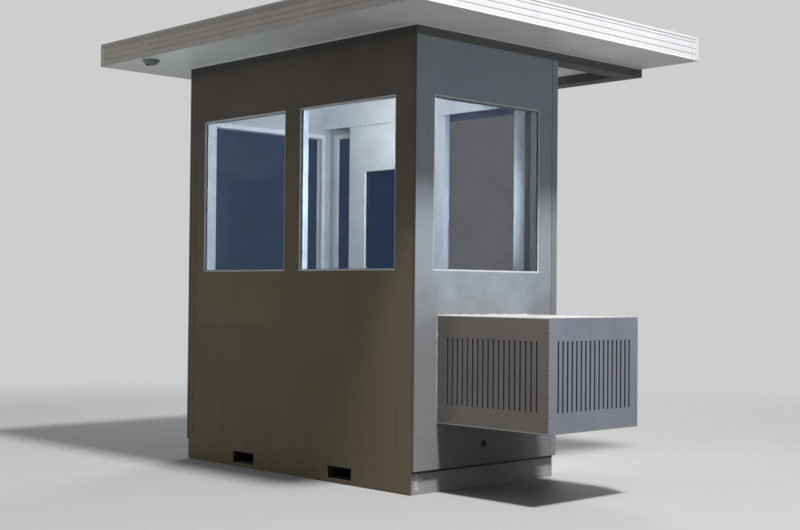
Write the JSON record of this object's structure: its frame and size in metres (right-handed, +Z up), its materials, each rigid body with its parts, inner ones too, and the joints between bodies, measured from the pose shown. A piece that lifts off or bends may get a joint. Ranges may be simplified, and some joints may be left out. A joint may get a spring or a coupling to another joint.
{
  "type": "security guard booth",
  "caption": "Small sheet-metal guard cabin with a wide flat roof and rear porch, tinted windows, a sliding door at the back and a slotted unit guard on the right end.",
  "frame": {"origin": "on the ground, under the middle of the cabin", "axes": "+X to the right along the front wall, +Y to the back where the door is, +Z up"},
  "size_m": [3.32, 2.498, 2.716],
  "materials": {
    "graphite_paint": "satin",
    "skid_paint": "matte",
    "white_trim": "satin",
    "roof_white": "satin",
    "tinted_glass": "clear, blue-grey tint",
    "floor_metal": "matte",
    "bare_aluminium": "satin",
    "lamp_cover": "frosted",
    "fixture_plastic": "satin",
    "black_rubber": "matte"
  },
  "bodies": {
    "cabin": {"base_cross_rails": "skid_paint", "base_long_rails": "skid_paint", "fork_pocket_left": "graphite_paint", "fork_pocket_right": "graphite_paint", "floor_plate": "floor_metal", "front_wall": "graphite_paint", "left_wall": "graphite_paint", "right_wall": "graphite_paint", "back_wall_left": "graphite_paint", "back_wall_right": "graphite_paint", "back_wall_over_door": "graphite_paint", "back_wall_under_door": "graphite_paint", "corner_posts": "graphite_paint", "eave_side_beams": "graphite_paint", "eave_cross_beams": "graphite_paint", "soffit_panel": "roof_white", "roof_panel": "roof_white", "fascia_front": "roof_white", "fascia_back": "roof_white", "fascia_left": "roof_white", "fascia_right": "roof_white", "ceiling_panel": "white_trim", "ceiling_light": "lamp_cover", "door_header": "white_trim", "door_track": "bare_aluminium", "door_post": "white_trim", "door_guide": "bare_aluminium", "door_sill": "bare_aluminium", "guard_shell": "graphite_paint", "guard_front": "graphite_paint", "soffit_fixture": "fixture_plastic", "wall_grommet": "black_rubber", "front_left_window_frame": "white_trim", "front_left_window_pane": "tinted_glass", "front_right_window_frame": "white_trim", "front_right_window_pane": "tinted_glass", "right_window_frame": "white_trim", "right_window_pane": "tinted_glass", "left_window_frame": "white_trim", "left_window_pane": "tinted_glass", "back_window_frame": "white_trim", "back_window_pane": "tinted_glass"},
    "door": {"door_leaf": "white_trim", "door_pane": "tinted_glass", "door_hangers": "bare_aluminium", "door_pull": "bare_aluminium"}
  },
  "joints": [
    {"name": "door_slide", "type": "slide", "parent": "cabin", "child": "door", "axis": [1, 0, 0], "range_m": [-0.25, 0.601]}
  ]
}
